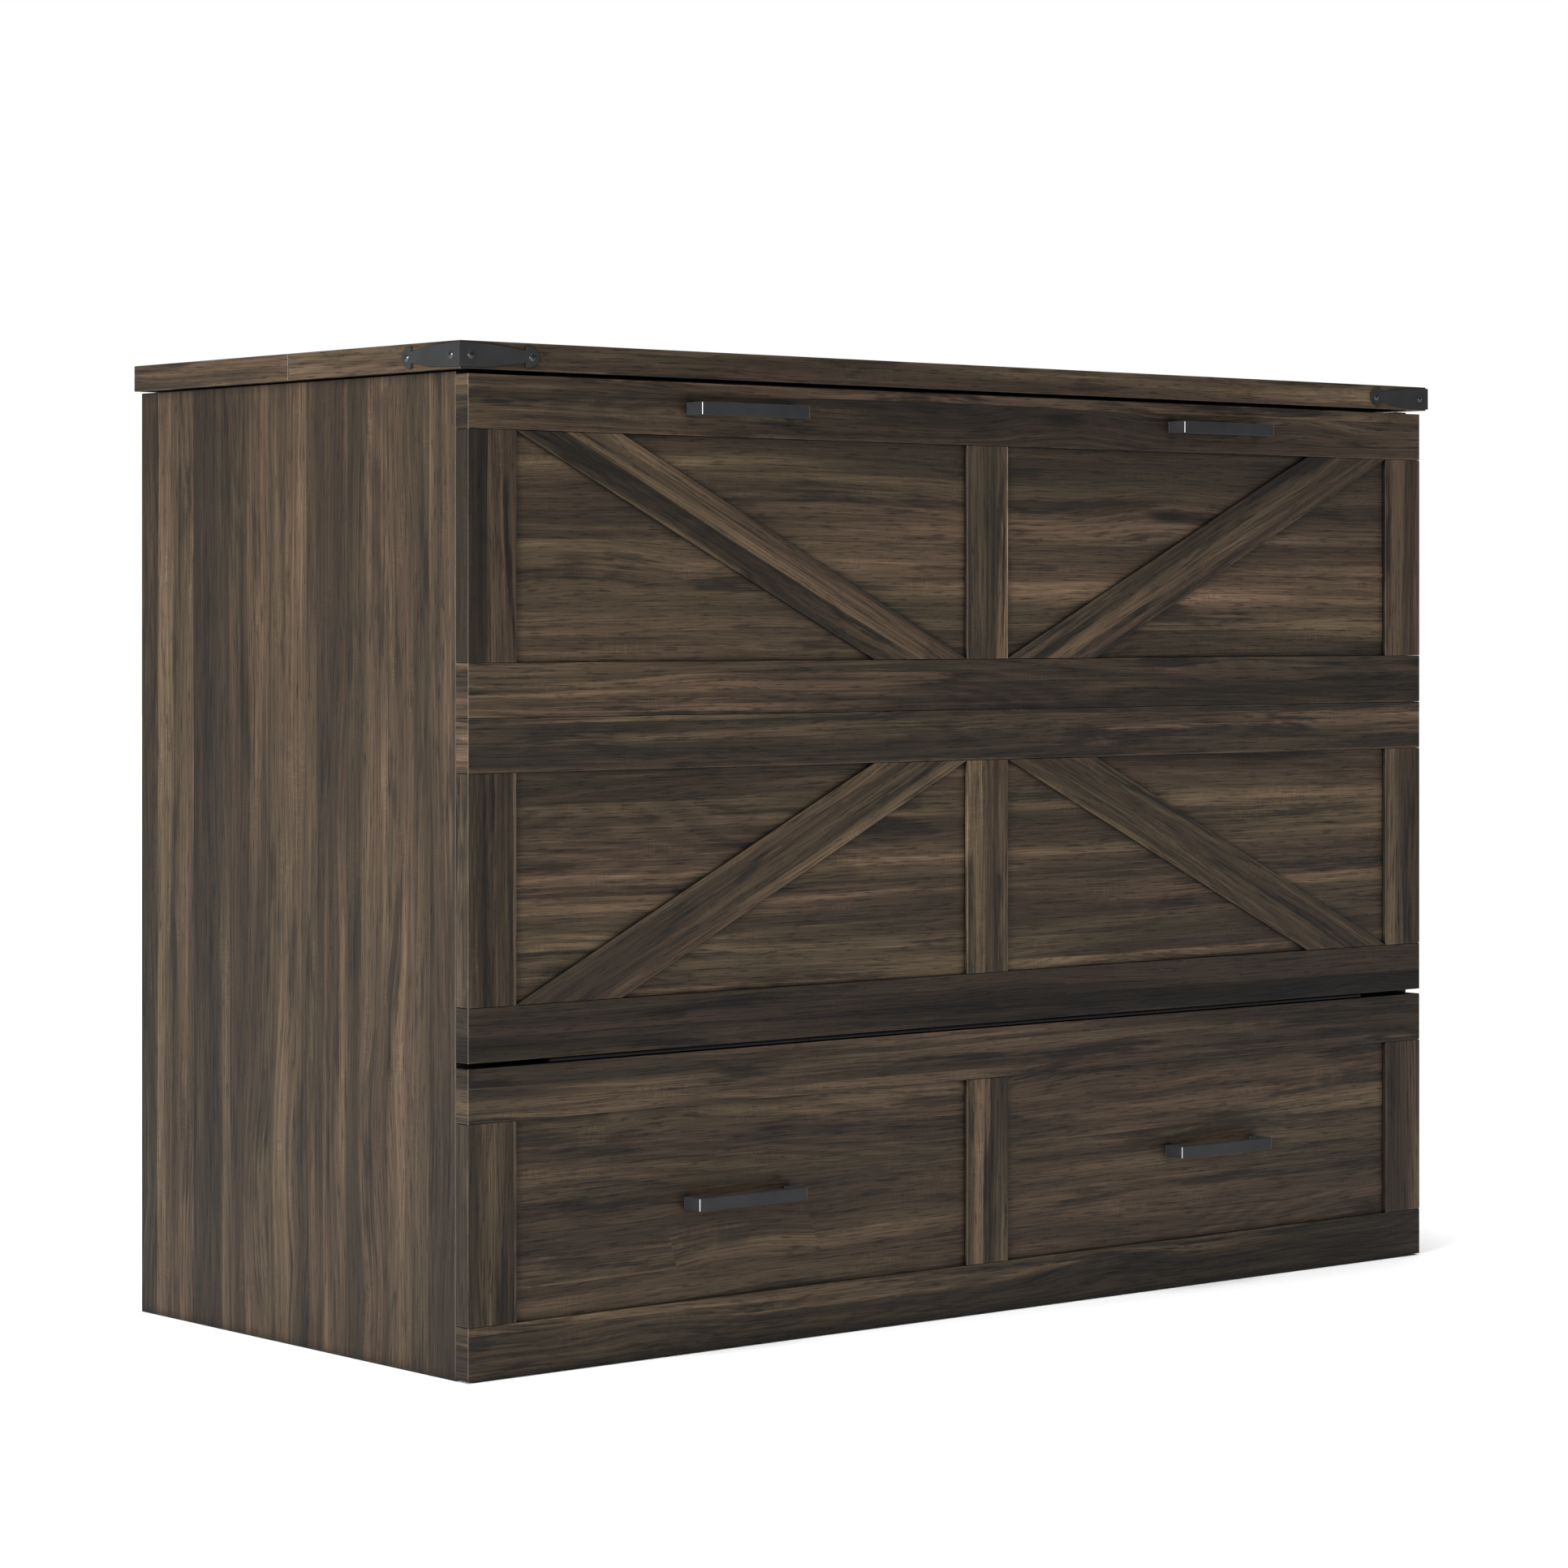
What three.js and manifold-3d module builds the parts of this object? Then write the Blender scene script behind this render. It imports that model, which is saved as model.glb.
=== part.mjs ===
// A closed cabinet bed: a chest that holds a folded mattress above one wide drawer.
// Millimetres, +Z up. The fronts face -Y, +X is to the right of someone facing them.
// Inside the cabinet group, y = 0 is the outer face of the fronts and z = 0 is the floor.
import * as THREE from 'three';
import { mergeVertices } from 'three/addons/utils/BufferGeometryUtils.js';
import Module from 'manifold-3d';

const wasm = await Module();
wasm.setup();

// Driving dimensions of the cabinet.
const WIDTH = 1640;
const DEPTH = 711;
const SIDE_THICKNESS = 19;
const BACK_THICKNESS = 16;
const SEAM = 0.3; // left between pieces that touch
const FRONT_THICKNESS = 24.7;
const CARCASS_FRONT = FRONT_THICKNESS + 0.5;
const INNER_HALF = WIDTH / 2 - SIDE_THICKNESS;
const STRETCHER_Y = [60, 140];
const STRETCHER_Z = [2, 21];

// The lid, in two halves that meet at a hinged seam.
const LID_BOTTOM = 1179.5;
const LID_THICKNESS = 33;
const LID_TOP = LID_BOTTOM + LID_THICKNESS;
const LID_MIDDLE = LID_BOTTOM + LID_THICKNESS / 2;
const LID_HALF_WIDTH = WIDTH / 2 + 12.5;
const LID_FRONT_EDGE = -0.5;
const LID_BACK_EDGE = DEPTH - 2;
const LID_SEAM = 355.6;
const LID_SEAM_GAP = 0.8;
const SIDE_TOP = LID_BOTTOM - 1.6;

// The framed fronts: rails, stiles, recessed fields and braces.
const PANEL_BOTTOM = 371.6;
const PANEL_TOP = 1174.6;
const PANEL_MIDDLE = (PANEL_BOTTOM + PANEL_TOP) / 2;
const RAIL = 64.5;
const STILE = 70;
const CENTRE_STILE = 71;
const RECESS = 5;
const BRACE_FOOT = 156; // length of a brace's cut end along its rail

// The drawer: its front runs from near the floor to just under the folding front.
const DRAWER_BOTTOM = 2;
const DRAWER_TOP = 365.5;
const BOX_HALF_WIDTH = INNER_HALF - 14;
const BOX_BOARD = 15;
const BOX_BACK = 655;
const BOX_Z = [62, 322];
const BOX_FLOOR_Z = [70, 78];

// Drawer slides: three nested channels on each side.
const SLIDE_Y = [30, 630];
const SLIDE_MIDDLE_Z = 190;
const SLIDE_GAUGE = 1.2;

// Pull handles.
const HANDLE_LENGTH = 170;
const HANDLE_HEIGHT = 16;
const HANDLE_REACH = 31;
const HANDLE_BAR = 10;
const HANDLE_LEG = 12;
const HANDLE_X = WIDTH / 4;

// Hinge axes that run along x, each as [y, z], and the long hinges on them.
const FRONT_AXIS = [2.2, 368.8];
const FOOT_AXIS = [FRONT_THICKNESS + 0.5, PANEL_TOP + 2];
const LID_AXIS = [LID_SEAM, LID_TOP + 3];
const HINGE_LENGTH = 1400;
const KNUCKLES = 7;
const KNUCKLE_GAP = 1;
const KNUCKLE_CLEARANCE = 0.4;
const LEAF = 1;

// The decks that carry the mattress, level with each other when the bed is open.
const DECK_TOP = FRONT_AXIS[1] + FRONT_THICKNESS - FRONT_AXIS[0];
const BASE_DECK_THICKNESS = 25;
const BASE_DECK_FRONT = 26.2;
const FOOT_DECK_HALF_WIDTH = 790;
const FOOT_DECK_LENGTH = 457;
const FOOT_DECK_Y = [FOOT_AXIS[0] + 0.5, FOOT_AXIS[0] + 18.5];
const FOOT_DECK_HIGH = PANEL_TOP - 0.1;

// Folding legs on the foot deck's underside, which faces the mattress while the bed is closed.
const LEG_THICKNESS = 20;
const LEG_PIVOT_Y = FOOT_DECK_Y[1] + LEG_THICKNESS / 2 + 0.8;
const LEG_FLOOR_GAP = 1.5;
// Opening mirrors the leg pivot about the foot hinge, and the lowered front lays it level.
const LEG_LENGTH = FRONT_AXIS[1] - FRONT_AXIS[0] + 2 * FOOT_AXIS[0] - LEG_PIVOT_Y - LEG_FLOOR_GAP;
const END_LEG_PIVOT_Z = 755;
const END_LEG_HALF_WIDTH = 380;
const MID_LEG_PIVOT_X = 770;
const MID_LEG_Z = [1070, 1110];
const BRACKET_HALF_HEIGHT = 16;
const BRACKET_REACH = 22;
const BRACKET_FOOT = 24;
const BRACKET_PLATE = 3;
const BRACKET_GAP = 0.6;

// The folded mattress: three sections standing on edge behind the foot deck.
const MATTRESS_WIDTH = 1524;
const MATTRESS_SECTION = 677;
const MATTRESS_THICKNESS = 150;
const MATTRESS_BACK = 690;
const MATTRESS_GAP = 2;

// Corner straps on the lid: u runs from the corner along a face, v up from the lid's middle.
const STRAP_THICKNESS = 2;
const STRAP_CORNER_V = 14.6;
const STRAP_SHOULDER = [30, 13.6];
const STRAP_WAIST = [62, 12]; // control point of the curve from the shoulder to the neck
const STRAP_NECK = [94.5, 6.8];
const STRAP_HEAD = [96, 13];
const STRAP_TIP = 114;
const STRAP_SCREWS = [15, 104];
const SCREW_RADIUS = 4.6;
const SCREW_DOME = 0.7;

const FINISHES = {
  laminate: { color: 0x4d4540, roughness: 0.55, metalness: 0 },
  lining: { color: 0x5b534c, roughness: 0.6, metalness: 0 },
  blackMetal: { color: 0x3c3c3d, roughness: 0.45, metalness: 0.6 },
  zincSteel: { color: 0xb4b6b8, roughness: 0.35, metalness: 1 },
  ticking: { color: 0xdedad0, roughness: 0.95, metalness: 0 },
};
const SIDES = [['left', -1], ['right', 1]];

const cabinet = new THREE.Group();

function add(name, geometry, finish) {
  const mesh = new THREE.Mesh(geometry, new THREE.MeshStandardMaterial(FINISHES[finish]));
  mesh.name = name;
  cabinet.add(mesh);
}

function ascending(a, b) {
  return a < b ? [a, b] : [b, a];
}

function box(low, high) {
  const geometry = new THREE.BoxGeometry(...high.map((value, i) => value - low[i]));
  geometry.translate(...high.map((value, i) => (value + low[i]) / 2));
  return geometry;
}

// A board between two corners, trimmed by half a seam on every side.
function board(name, low, high, finish = 'laminate') {
  const trim = SEAM / 2;
  add(name, box(low.map((value) => value + trim), high.map((value) => value - trim)), finish);
}

function solid(geometry) {
  const bare = geometry.clone();
  bare.deleteAttribute('normal');
  bare.deleteAttribute('uv');
  const merged = mergeVertices(bare);
  return new wasm.Manifold(new wasm.Mesh({
    numProp: 3,
    vertProperties: merged.attributes.position.array,
    triVerts: Uint32Array.from(merged.index.array),
  }));
}

function union(geometries) {
  const mesh = geometries.map(solid).reduce((a, b) => a.add(b)).getMesh();
  const geometry = new THREE.BufferGeometry();
  geometry.setAttribute('position', new THREE.BufferAttribute(mesh.vertProperties, 3));
  geometry.setIndex(new THREE.BufferAttribute(mesh.triVerts, 1));
  return geometry;
}

// Mirrors an indexed geometry across x = 0 and turns its faces outwards again.
function mirrorX(geometry) {
  geometry.scale(-1, 1, 1);
  const index = geometry.index.array;
  for (let i = 0; i < index.length; i += 3) {
    [index[i], index[i + 1]] = [index[i + 1], index[i]];
  }
}

function polygon(points) {
  return new THREE.Shape(points.map(([a, b]) => new THREE.Vector2(a, b)));
}

function extrude(shape, depth, curveSegments = 10) {
  return new THREE.ExtrudeGeometry(shape, { depth, bevelEnabled: false, curveSegments });
}

// An outline drawn in x and z, solid from yFront to yBack.
function extrudeAlongY(shape, yFront, yBack) {
  const geometry = extrude(shape, yBack - yFront);
  geometry.rotateX(Math.PI / 2);
  geometry.translate(0, yBack, 0);
  return geometry;
}

// An outline drawn in y and z, solid from xLow to xHigh.
function extrudeAlongX(shape, xLow, xHigh) {
  const geometry = extrude(shape, xHigh - xLow);
  geometry.rotateY(Math.PI / 2);
  geometry.rotateX(Math.PI / 2);
  geometry.translate(xLow, 0, 0);
  return geometry;
}

// One half of a long hinge: a leaf on one side of the axis, knuckles that alternate with the other
// half's, and a tab from each knuckle to the leaf. leafLow is the leaf's underside above the axis.
function hingeHalf(name, [axisY, axisZ], { radius, side, reach, leafLow, parity, extra = [] }) {
  const pitch = HINGE_LENGTH / KNUCKLES;
  const start = -HINGE_LENGTH / 2;
  const leafStart = radius + KNUCKLE_CLEARANCE;
  const low = axisZ + leafLow;
  const strip = (xLow, xHigh, from, to) => {
    const [y0, y1] = ascending(axisY + side * from, axisY + side * to);
    return box([xLow, y0, low], [xHigh, y1, low + LEAF]);
  };
  const pieces = [strip(start, -start, leafStart, reach), ...extra];
  for (let i = parity; i < KNUCKLES; i += 2) {
    const xLow = start + i * pitch + KNUCKLE_GAP / 2;
    const xHigh = xLow + pitch - KNUCKLE_GAP;
    const barrel = new THREE.CylinderGeometry(radius, radius, xHigh - xLow, 16);
    barrel.rotateZ(Math.PI / 2);
    barrel.translate((xLow + xHigh) / 2, axisY, axisZ);
    pieces.push(barrel, strip(xLow, xHigh, 0, leafStart + LEAF));
  }
  add(name, union(pieces), 'blackMetal');
}

function carcass() {
  for (const [side, sign] of SIDES) {
    const [low, high] = ascending(sign * INNER_HALF, sign * WIDTH / 2);
    board(`side_${side}`, [low, CARCASS_FRONT, -SEAM / 2], [high, DEPTH, SIDE_TOP]);
  }
  const backFace = DEPTH - BACK_THICKNESS;
  board('back_panel', [-INNER_HALF, backFace, 0], [INNER_HALF, DEPTH, SIDE_TOP]);
  board('base_deck', [-INNER_HALF, BASE_DECK_FRONT, DECK_TOP - BASE_DECK_THICKNESS],
    [INNER_HALF, backFace, DECK_TOP], 'lining');
  board('bottom_stretcher', [-INNER_HALF, STRETCHER_Y[0], STRETCHER_Z[0]],
    [INNER_HALF, STRETCHER_Y[1], STRETCHER_Z[1]], 'lining');
  board('lid_rear', [-LID_HALF_WIDTH, LID_SEAM + LID_SEAM_GAP / 2, LID_BOTTOM],
    [LID_HALF_WIDTH, LID_BACK_EDGE, LID_TOP]);
}

function mattress() {
  for (const [i, place] of ['rear', 'middle', 'front'].entries()) {
    const back = MATTRESS_BACK - i * (MATTRESS_THICKNESS + MATTRESS_GAP);
    const low = DECK_TOP + SEAM;
    board(`mattress_${place}`, [-MATTRESS_WIDTH / 2, back - MATTRESS_THICKNESS, low],
      [MATTRESS_WIDTH / 2, back, low + MATTRESS_SECTION], 'ticking');
  }
}

function strapOutline() {
  const shape = new THREE.Shape();
  const half = (sign) => ({
    shoulder: [STRAP_SHOULDER[0], sign * STRAP_SHOULDER[1]],
    waist: [STRAP_WAIST[0], sign * STRAP_WAIST[1]],
    neck: [STRAP_NECK[0], sign * STRAP_NECK[1]],
    head: [STRAP_HEAD[0], sign * STRAP_HEAD[1]],
  });
  const lower = half(-1);
  const upper = half(1);
  shape.moveTo(-STRAP_THICKNESS, -STRAP_CORNER_V);
  shape.lineTo(...lower.shoulder);
  shape.quadraticCurveTo(...lower.waist, ...lower.neck);
  shape.lineTo(...lower.head);
  const [headU, headV] = STRAP_HEAD;
  shape.absellipse(headU, 0, STRAP_TIP - headU, headV, -Math.PI / 2, Math.PI / 2, false, 0);
  shape.lineTo(...upper.neck);
  shape.quadraticCurveTo(...upper.waist, ...upper.shoulder);
  shape.lineTo(-STRAP_THICKNESS, STRAP_CORNER_V);
  return shape;
}

// A domed screw head that faces -y, sunk half the strap's thickness into the strap.
function screwHead() {
  const steps = 4;
  const foot = -STRAP_THICKNESS / 2;
  const profile = [new THREE.Vector2(0, foot), new THREE.Vector2(SCREW_RADIUS, foot)];
  for (let i = 0; i < steps; i += 1) {
    const angle = i / steps * Math.PI / 2;
    profile.push(new THREE.Vector2(SCREW_RADIUS * Math.cos(angle), SCREW_DOME * Math.sin(angle)));
  }
  profile.push(new THREE.Vector2(0, SCREW_DOME));
  const head = new THREE.LatheGeometry(profile, 14);
  head.rotateX(Math.PI);
  return head;
}

// One leg of a strap on the face y = 0, running from the corner towards +x.
function strapLeg() {
  const pieces = [extrudeAlongY(strapOutline(), -STRAP_THICKNESS, 0)];
  for (const u of STRAP_SCREWS) {
    const head = screwHead();
    head.translate(u, -STRAP_THICKNESS, 0);
    pieces.push(head);
  }
  return union(pieces);
}

// An L of two legs round a front corner of the lid. The left one is the right one's mirror.
function cornerStrap(side, sign) {
  const sideLeg = strapLeg();
  mirrorX(sideLeg);
  sideLeg.rotateZ(-Math.PI / 2);
  const strap = union([strapLeg(), sideLeg]);
  strap.translate(-LID_HALF_WIDTH, LID_FRONT_EDGE, LID_MIDDLE);
  if (sign > 0) {
    mirrorX(strap);
  }
  add(`corner_strap_${side}`, strap, 'blackMetal');
}

function lid() {
  board('lid_front', [-LID_HALF_WIDTH, LID_FRONT_EDGE, LID_BOTTOM],
    [LID_HALF_WIDTH, LID_SEAM - LID_SEAM_GAP / 2, LID_TOP]);
  const leaf = { radius: 2.6, reach: 20, leafLow: SEAM + LID_TOP - LID_AXIS[1] };
  hingeHalf('lid_hinge_fixed_leaf', LID_AXIS, { ...leaf, side: 1, parity: 0 });
  hingeHalf('lid_hinge_moving_leaf', LID_AXIS, { ...leaf, side: -1, parity: 1 });
  for (const [side, sign] of SIDES) {
    cornerStrap(side, sign);
  }
}

// A U-shaped pull: a bar on two legs that stand on the plane y = yBase.
function handle(name, x, yBase, z) {
  const half = HANDLE_LENGTH / 2;
  const inner = half - HANDLE_LEG;
  const back = -SEAM;
  const outline = polygon([
    [-half, back], [-half, -HANDLE_REACH], [half, -HANDLE_REACH], [half, back],
    [inner, back], [inner, HANDLE_BAR - HANDLE_REACH], [-inner, HANDLE_BAR - HANDLE_REACH], [-inner, back],
  ]);
  const geometry = extrude(outline, HANDLE_HEIGHT);
  geometry.translate(x, yBase, z - HANDLE_HEIGHT / 2);
  add(name, geometry, 'blackMetal');
}

function handlePair(prefix, yBase, z) {
  for (const [side, sign] of SIDES) {
    handle(`${prefix}_${side}_handle`, sign * HANDLE_X, yBase, z);
  }
}

// A brace in each half of a section, from the centre stile at zInner to the far corner at zOuter.
function braces(level, zInner, zOuter) {
  const outer = WIDTH / 2 - STILE - SEAM / 2;
  const inner = CENTRE_STILE / 2 + SEAM / 2;
  const trim = Math.sign(zOuter - zInner) * SEAM / 2;
  for (const [side, sign] of SIDES) {
    const corners = [
      [sign * outer, zOuter - trim], [sign * (outer - BRACE_FOOT), zOuter - trim],
      [sign * inner, zInner + trim], [sign * (inner + BRACE_FOOT), zInner + trim],
    ];
    const geometry = extrudeAlongY(polygon(corners), SEAM / 2, RECESS - SEAM / 2);
    add(`front_${level}_${side}_brace`, geometry, 'laminate');
  }
}

// One framed section of a front between two rails: side stiles, centre stile and field.
function framedSection(prefix, zLow, zHigh) {
  const half = WIDTH / 2;
  board(`${prefix}_left_stile`, [-half, 0, zLow], [STILE - half, FRONT_THICKNESS, zHigh]);
  board(`${prefix}_right_stile`, [half - STILE, 0, zLow], [half, FRONT_THICKNESS, zHigh]);
  board(`${prefix}_centre_stile`, [-CENTRE_STILE / 2, 0, zLow], [CENTRE_STILE / 2, RECESS, zHigh]);
  board(`${prefix}_field`, [STILE - half, RECESS, zLow], [half - STILE, FRONT_THICKNESS, zHigh]);
}

function rail(name, zLow, zHigh) {
  board(name, [-WIDTH / 2, 0, zLow], [WIDTH / 2, FRONT_THICKNESS, zHigh]);
}

// The hinge lies in the gap over the drawer. Its fixed leaf turns up in front of the base deck.
function frontHinge() {
  const flange = box([-HINGE_LENGTH / 2, BASE_DECK_FRONT - 1.1, FRONT_AXIS[1] - 2],
    [HINGE_LENGTH / 2, BASE_DECK_FRONT - 0.3, DECK_TOP - 2]);
  hingeHalf('front_hinge_fixed_leaf', FRONT_AXIS,
    { radius: 2, side: 1, reach: 23.5, leafLow: -2, parity: 0, extra: [flange] });
  hingeHalf('front_hinge_moving_leaf', FRONT_AXIS,
    { radius: 2, side: 1, reach: 19.8, leafLow: 1.4, parity: 1 });
}

function foldingFront() {
  rail('front_top_rail', PANEL_TOP - RAIL, PANEL_TOP);
  rail('front_upper_middle_rail', PANEL_MIDDLE, PANEL_MIDDLE + RAIL);
  rail('front_lower_middle_rail', PANEL_MIDDLE - RAIL, PANEL_MIDDLE);
  rail('front_bottom_rail', PANEL_BOTTOM, PANEL_BOTTOM + RAIL);
  framedSection('front_upper', PANEL_MIDDLE + RAIL, PANEL_TOP - RAIL);
  framedSection('front_lower', PANEL_BOTTOM + RAIL, PANEL_MIDDLE - RAIL);
  braces('upper', PANEL_MIDDLE + RAIL, PANEL_TOP - RAIL);
  braces('lower', PANEL_MIDDLE - RAIL, PANEL_BOTTOM + RAIL);
  handlePair('front', 0, PANEL_TOP - RAIL / 2);
}

function footDeck() {
  board('foot_deck', [-FOOT_DECK_HALF_WIDTH, FOOT_DECK_Y[0], FOOT_DECK_HIGH - FOOT_DECK_LENGTH],
    [FOOT_DECK_HALF_WIDTH, FOOT_DECK_Y[1], FOOT_DECK_HIGH], 'lining');
  const leaf = { radius: 1.7, leafLow: -1.7 };
  hingeHalf('foot_hinge_fixed_leaf', FOOT_AXIS, { ...leaf, side: -1, reach: 19, parity: 0 });
  hingeHalf('foot_hinge_moving_leaf', FOOT_AXIS, { ...leaf, side: 1, reach: 17, parity: 1 });
}

// A leg's side outline: its pivot is the origin, it is round about the pivot and runs along +b.
function legOutline() {
  const radius = LEG_THICKNESS / 2;
  const shape = new THREE.Shape();
  shape.moveTo(radius, 0);
  shape.lineTo(radius, LEG_LENGTH);
  shape.lineTo(-radius, LEG_LENGTH);
  shape.lineTo(-radius, 0);
  shape.absarc(0, 0, radius, Math.PI, 2 * Math.PI, false);
  return shape;
}

function endLeg() {
  const panel = extrudeAlongX(legOutline(), -END_LEG_HALF_WIDTH, END_LEG_HALF_WIDTH);
  panel.translate(0, LEG_PIVOT_Y, END_LEG_PIVOT_Z);
  add('end_leg_panel', panel, 'lining');
  for (const [side, sign] of SIDES) {
    endLegBracket(side, sign);
  }
}

// An angle on the foot deck whose upright ear stands beside the end leg's pivot.
function endLegBracket(side, sign) {
  const x = sign * (END_LEG_HALF_WIDTH + BRACKET_GAP);
  const ear = ascending(x, x + sign * BRACKET_PLATE);
  const foot = ascending(x, x + sign * BRACKET_FOOT);
  const low = [FOOT_DECK_Y[1] + SEAM, END_LEG_PIVOT_Z - BRACKET_HALF_HEIGHT];
  const high = END_LEG_PIVOT_Z + BRACKET_HALF_HEIGHT;
  add(`end_leg_bracket_${side}`, union([
    box([ear[0], ...low], [ear[1], low[0] + BRACKET_REACH, high]),
    box([foot[0], ...low], [foot[1], low[0] + BRACKET_PLATE, high]),
  ]), 'blackMetal');
}

// A leg at each edge of the foot deck, folded inwards along x.
function midLegs() {
  for (const [side, sign] of SIDES) {
    const leg = extrude(legOutline(), MID_LEG_Z[1] - MID_LEG_Z[0]);
    leg.rotateZ(sign * Math.PI / 2);
    leg.translate(sign * MID_LEG_PIVOT_X, LEG_PIVOT_Y, MID_LEG_Z[0]);
    add(`mid_leg_${side}`, leg, 'blackMetal');
  }
}

function drawer() {
  rail('drawer_top_rail', DRAWER_TOP - RAIL, DRAWER_TOP);
  rail('drawer_bottom_rail', DRAWER_BOTTOM, RAIL);
  framedSection('drawer', RAIL, DRAWER_TOP - RAIL);
  handlePair('drawer', RECESS, DRAWER_TOP / 2);
  const inside = BOX_HALF_WIDTH - BOX_BOARD;
  const backFace = BOX_BACK - BOX_BOARD;
  for (const [side, sign] of SIDES) {
    const [low, high] = ascending(sign * inside, sign * BOX_HALF_WIDTH);
    board(`drawer_${side}_side`, [low, FRONT_THICKNESS, BOX_Z[0]], [high, BOX_BACK, BOX_Z[1]], 'lining');
  }
  board('drawer_back', [-inside, backFace, BOX_Z[0]], [inside, BOX_BACK, BOX_Z[1]], 'lining');
  board('drawer_bottom', [-inside, FRONT_THICKNESS, BOX_FLOOR_Z[0]],
    [inside, backFace, BOX_FLOOR_Z[1]], 'lining');
}

// A slide member: a channel with its web at webX and its two flanges reaching to lipX.
function channel(name, webX, lipX, halfHeight) {
  const inner = webX + Math.sign(lipX - webX) * SLIDE_GAUGE;
  const flange = halfHeight - SLIDE_GAUGE;
  const outline = polygon([
    [webX, -halfHeight], [lipX, -halfHeight], [lipX, -flange], [inner, -flange],
    [inner, flange], [lipX, flange], [lipX, halfHeight], [webX, halfHeight],
  ]);
  const geometry = extrudeAlongY(outline, ...SLIDE_Y);
  geometry.translate(0, 0, SLIDE_MIDDLE_Z);
  add(name, geometry, 'zincSteel');
}

// The outer member is on the cabinet's side, the inner on the drawer box, the middle between.
function slides() {
  for (const [side, sign] of SIDES) {
    const wall = sign * (INNER_HALF - SEAM);
    const boxSide = sign * (BOX_HALF_WIDTH + SEAM);
    channel(`slide_outer_${side}`, wall, wall - sign * 9.5, 22.5);
    channel(`slide_middle_${side}`, wall - sign * 2.4, wall - sign * 11, 19.6);
    channel(`slide_inner_${side}`, boxSide, boxSide + sign * 8, 17);
  }
}

carcass();
mattress();
lid();
foldingFront();
frontHinge();
footDeck();
endLeg();
midLegs();
drawer();
slides();

// The origin goes under the middle of the whole object, between the handles and the back.
cabinet.position.y = (HANDLE_REACH - DEPTH) / 2;

export default cabinet;
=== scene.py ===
"""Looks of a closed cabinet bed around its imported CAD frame. Metres, +Z up, the fronts face -Y."""

import math
import random

import bmesh
import bpy
import numpy as np
from mathutils import Matrix, Vector
from mathutils.bvhtree import BVHTree


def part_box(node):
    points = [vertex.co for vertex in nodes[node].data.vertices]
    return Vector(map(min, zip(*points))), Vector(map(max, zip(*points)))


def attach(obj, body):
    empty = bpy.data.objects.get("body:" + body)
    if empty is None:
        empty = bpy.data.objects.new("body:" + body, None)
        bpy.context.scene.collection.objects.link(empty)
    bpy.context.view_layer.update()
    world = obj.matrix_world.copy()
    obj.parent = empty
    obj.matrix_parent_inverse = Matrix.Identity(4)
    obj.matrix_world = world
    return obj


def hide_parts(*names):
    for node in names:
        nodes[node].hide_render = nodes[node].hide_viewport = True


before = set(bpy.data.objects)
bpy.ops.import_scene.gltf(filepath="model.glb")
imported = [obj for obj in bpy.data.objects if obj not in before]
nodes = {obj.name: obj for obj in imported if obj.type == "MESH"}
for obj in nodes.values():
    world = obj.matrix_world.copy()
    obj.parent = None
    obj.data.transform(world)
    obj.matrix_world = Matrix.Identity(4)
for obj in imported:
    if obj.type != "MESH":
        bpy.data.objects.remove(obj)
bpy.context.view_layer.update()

X, Y, Z = Vector((1, 0, 0)), Vector((0, 1, 0)), Vector((0, 0, 1))

# How wide the printed planks are and how strong their contrast, by a word in the node's name; the
# first that fits counts.
PRINTS = {"stile": (0.045, 1.35), "rail": (0.055, 1.35), "brace": (0.07, 1.15), "side": (0.085, 0.85),
          "": (0.11, 0.9)}
# A painted highlight: the pale colour laid along the rounded upright edges, where they would catch the light.
PAINTED_EDGE_HIGHLIGHT = (0.36, 0.31, 0.26)
# The level that a board's contrast opens out from.
MID_STAIN = 0.5
# Stains, from the darkest streaks to the palest, with their places on the ramp.
STAIN = ((0.1, (0.0115, 0.0086, 0.0058)), (0.38, (0.0275, 0.0187, 0.0112)), (0.62, (0.059, 0.0394, 0.0236)),
         (0.92, (0.125, 0.084, 0.051)))
# The stain leans to grey-green in places and to purple-brown in others.
TINTS = ((0.97, 1.01, 0.98), (1.03, 0.985, 1.02))

# How pale each board is next to the others, by its node's name; the front's bottom rail is set far darker
# than the rest.
TONES = {
    "side_left": 0.92, "side_right": 0.92, "lid_rear": 1.6, "lid_front": 1.1, "front_top_rail": 0.7,
    "front_upper_left_stile": 0.65, "front_lower_left_stile": 0.52, "front_upper_right_stile": 0.6,
    "front_lower_right_stile": 0.85, "front_upper_field": 1.2, "front_lower_field": 1.15,
    "front_upper_middle_rail": 0.9, "front_lower_middle_rail": 1.45, "front_bottom_rail": 0.2,
    "front_upper_centre_stile": 2.1, "front_lower_centre_stile": 1.45, "front_upper_left_brace": 0.88,
    "front_upper_right_brace": 0.75, "front_lower_left_brace": 1.1, "drawer_top_rail": 0.6,
    "drawer_right_stile": 0.74, "drawer_left_stile": 0.8, "drawer_field": 1.12,
    "drawer_centre_stile": 0.9,
}


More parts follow.
